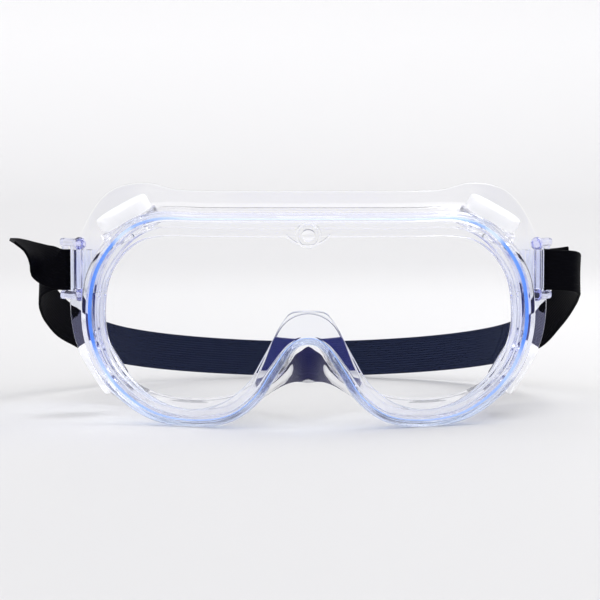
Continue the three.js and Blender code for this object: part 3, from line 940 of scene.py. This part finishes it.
def make_clip(name, side):
    half = CLIP_INSIDE / 2
    top = half + CLIP_RAIL_THICKNESS
    reach = top - BAR_END_INSET
    lie = Matrix.Translation((0, CLIP_LENGTH / 2, 0)) @ Matrix.Rotation(math.pi / 2, 4, "Z")
    clip = make(f"{name}_loop", rod(FRONT_BAR_RADIUS, -reach, reach))
    bars = ((MIDDLE_BAR["radius"], MIDDLE_BAR["place"]), (REAR_BAR_RADIUS, CLIP_LENGTH))
    parts = [moved(rod(r, -reach, reach), Matrix.Translation((0, y, 0))) for r, y in bars]
    for low in (half, -top):
        length, width = CLIP_LENGTH + 2 * CLIP_RAIL_RADIUS, 2 * CLIP_RAIL_RADIUS
        rail = bar(length, width, low, low + CLIP_RAIL_THICKNESS, CLIP_RAIL_SOFT)
        parts.append(moved(rail, lie))
    knob_z = top + KNOB["proud"] - KNOB["radius"]
    parts += [ball(KNOB["radius"], end * knob_z) for end in (1, -1)]
    cut(clip, parts, "UNION")
    x, y, z = CLIP_PIVOT
    turn = Matrix.Rotation(-side * rest_angle(side), 4, "Z")
    clip.data.transform(Matrix.Translation((side * x, y, z)) @ turn)
    body = "left_clip" if side < 0 else "right_clip"
    return finished(clip, CLIP_CLEAR, body, name)


# ------------------------------------------------------------------------------------ headband

def wrap_round(side, steps=6):
    """Half a turn round a clip's rear bar, from its front to its back, through the clip's slot."""
    x = CLIP_PIVOT[0] + CLIP_LENGTH * math.sin(rest_angle(side))
    y = CLIP_PIVOT[1] + CLIP_LENGTH * math.cos(rest_angle(side))
    route = []
    for i in range(steps + 1):
        a = BAND_LEAVES_AT - math.pi / 2 - math.pi * i / steps
        route.append((
            side * (x + BAND_WRAP_RADIUS * math.cos(a)),
            y + BAND_WRAP_RADIUS * math.sin(a),
            BAND_CLIP_Z,
            0,
        ))
    return route


def band_section():
    """Once round the band's section, as (across, up), with ribs on both faces and round edges."""
    half_width, half = BAND_WIDTH / 2 - BAND_EDGE, BAND_THICKNESS / 2
    points_per_rib = 4
    count = BAND_RIBS * points_per_rib
    face = []
    for i in range(count + 1):
        in_groove = 0.5 * (1 + math.cos(2 * math.pi * i / points_per_rib))
        face.append((half - BAND_GROOVE * in_groove, half_width * (2 * i / count - 1)))
    across, below = BAND_EDGE_ROUND
    edge = [
        (across, BAND_WIDTH / 2 - below),
        (0.0, BAND_WIDTH / 2),
        (-across, BAND_WIDTH / 2 - below),
    ]
    half_turn = [(-x, -z) for x, z in face + edge]
    return face + edge + half_turn


def make_band(name, route):
    """Half of the band, from its tail to the middle of the back."""
    curve = Spline([p[:3] for p in route], closed=False)
    section = band_section()
    count = (len(route) - 1) * BAND_RINGS_PER_SPAN
    rings, lengths, run, last = [], [], 0.0, curve.at(0)
    for i in range(count + 1):
        t = i / count
        place = t * (len(route) - 1)
        before, after = route[math.floor(place)], route[math.ceil(place)]
        twist = before[3] + (after[3] - before[3]) * (place % 1)
        centre, tangent = curve.at(t), curve.along(t)
        up = Vector((0, 0, 1))
        up = (up - tangent * up.dot(tangent)).normalized()
        up.rotate(Matrix.Rotation(math.radians(twist), 3, tangent))
        across = tangent.cross(up)
        run += (centre - last).length
        last = centre
        lengths.append(run)
        rings.append([centre + across * a + up * b for a, b in section])
    made = make(name, loft(rings))
    size = len(section)
    spread = [b for _, b in section]
    uv = made.data.uv_layers.new(name="weave")
    for loop in made.data.loops:
        ring, k = divmod(loop.vertex_index, size)
        uv.data[loop.index].uv = (lengths[ring] * MM, spread[k] * MM)
    finished(made, ELASTIC, None, crease=60)
    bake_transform(made)
    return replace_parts(made, "headband")


def make_headband():
    left_back = [(-x, y, z, twist) for x, y, z, twist in BACK_STRETCH]
    left = LEFT_TAIL + wrap_round(-1) + LEFT_STRETCH + left_back + [BACK_MIDDLE]
    right = RIGHT_TAIL[::-1] + wrap_round(1)[::-1] + RIGHT_STRETCH + BACK_STRETCH + [BACK_MIDDLE]
    make_band("headband_left_half", left)
    make_band("headband_right_half", right)


# ------------------------------------------------------------------------- camera, floor, light

# Metres and degrees, but millimetres for the camera's sensor, lens and sideways shift.
CAMERA = dict(sensor=36, lens=99, shift=-0.498, away=0.550, height=0.082, tilt=4.02)
BACKDROP = dict(front=-4.0, bend_from=1.0, radius=0.8, top=3.5, half_width=6.0, steps=24)
FLOOR_GAP = 0.0003
# Painted light on the backdrop: how pale it is painted, darker on the floor near the goggles and
# paler up the wall where less light reaches, as (distance behind the origin, paleness).
BACKDROP_PAINTED_LIGHT, BACKDROP_PAINTED_LIGHT_REACH = [(0.1, 0.7), (0.6, 0.775), (1.3, 0.775), (1.6, 0.94)], 2.0
SKY, SIDE_SKY = (0.95, 0.95, 0.965), (0.24, 0.27, 0.66)
SIDE_SKY_FROM_X, SIDE_SKY_FROM_Z = (0.76, 0.92), (0.06, 0.16)
BRIGHT_SKY_FROM_Z, BRIGHT_SKY = (0.15, 0.75), 1.3
SOFTBOX = dict(width=0.5, depth=0.35, energy=3, place=(0.5, 0.3, 0.8), turn=(-15, 30, 0))


def make_camera():
    data = bpy.data.cameras.new("camera")
    data.sensor_width, data.lens = CAMERA["sensor"], CAMERA["lens"]
    data.shift_x = CAMERA["shift"] / CAMERA["sensor"]
    data.clip_start, data.clip_end = 0.01, 50
    camera = bpy.data.objects.new("camera", data)
    camera.location = (0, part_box("lens")[0].y - CAMERA["away"], CAMERA["height"])
    camera.rotation_euler = (math.radians(90 - CAMERA["tilt"]), 0, 0)
    bpy.context.scene.collection.objects.link(camera)
    bpy.context.scene.camera = camera


def backdrop_paper_painted_light():
    """Pale paper with painted light: painted lighter up the wall, where less light reaches, than on
    the floor.
    """
    material = principled("pale backdrop with painted light", Roughness=0.6, Specular_IOR_Level=0.1)
    tree = material.node_tree
    away = ranged(tree, coordinates(tree, "Object")["Y"], 0, BACKDROP_PAINTED_LIGHT_REACH)
    paper = ramped(tree, away, [
        (distance / BACKDROP_PAINTED_LIGHT_REACH, (pale, pale * 0.994, pale * 0.978))
        for distance, pale in BACKDROP_PAINTED_LIGHT
    ])
    tree.links.new(paper, tree.nodes["Principled BSDF"].inputs["Base Color"])
    return material


def make_backdrop():
    """A pale floor that curves up into a wall behind the goggles."""
    bend, radius, steps = BACKDROP["bend_from"], BACKDROP["radius"], BACKDROP["steps"]
    side = [(BACKDROP["front"], -FLOOR_GAP)]
    for i in range(steps + 1):
        a = math.pi / 2 * i / steps
        side.append((bend + radius * math.sin(a), radius * (1 - math.cos(a)) - FLOOR_GAP))
    side.append((bend + radius, BACKDROP["top"]))
    reach = BACKDROP["half_width"]
    points = [(x, y, z) for y, z in side for x in (-reach, reach)]
    faces = [(2 * i, 2 * i + 1, 2 * i + 3, 2 * i + 2) for i in range(len(side) - 1)]
    mesh = bpy.data.meshes.new("backdrop")
    mesh.from_pydata(points, [], faces)
    mesh.polygons.foreach_set("use_smooth", [True] * len(faces))
    mesh.materials.append(backdrop_paper_painted_light())
    backdrop = bpy.data.objects.new("backdrop", mesh)
    bpy.context.scene.collection.objects.link(backdrop)


def make_sky():
    """A white studio, brighter overhead, with blue-violet sides that only the pieces catch."""
    world = bpy.data.worlds.new("studio")
    bpy.context.scene.world = world
    world.use_nodes = True
    tree = world.node_tree
    direction = coordinates(tree, "Generated")
    far_aside = ranged(tree, calculated(tree, "ABSOLUTE", direction["X"]), *SIDE_SKY_FROM_X)
    raised = ranged(tree, direction["Z"], *SIDE_SKY_FROM_Z)
    sides = mixed(tree, calculated(tree, "MULTIPLY", far_aside, raised), SKY, SIDE_SKY)
    seen = tree.nodes.new("ShaderNodeLightPath")
    color = mixed(tree, seen.outputs["Is Camera Ray"], sides, SKY)
    strength = ranged(tree, direction["Z"], *BRIGHT_SKY_FROM_Z, 1.0, BRIGHT_SKY)
    background = tree.nodes["Background"].inputs
    tree.links.new(color, background["Color"])
    tree.links.new(strength, background["Strength"])


def make_softbox():
    lamp = bpy.data.lights.new("softbox", "AREA")
    lamp.shape, lamp.energy = "RECTANGLE", SOFTBOX["energy"]
    lamp.size, lamp.size_y = SOFTBOX["width"], SOFTBOX["depth"]
    light = bpy.data.objects.new("softbox", lamp)
    light.location = SOFTBOX["place"]
    light.rotation_euler = [math.radians(a) for a in SOFTBOX["turn"]]
    bpy.context.scene.collection.objects.link(light)


make_camera()
make_backdrop()
make_sky()
make_softbox()
make_frame()
make_lens()
for cap_name, cap_place in VENTS:
    make_cap(cap_name, cap_place)
make_clip("strap_clip_left", -1)
make_clip("strap_clip_right", 1)
make_headband()

scene = bpy.context.scene
scene.view_settings.view_transform = "Standard"
scene.cycles.max_bounces = 24
scene.cycles.transmission_bounces = 24
scene.cycles.glossy_bounces = 24
scene.cycles.diffuse_bounces = 6
scene.cycles.transparent_max_bounces = 16
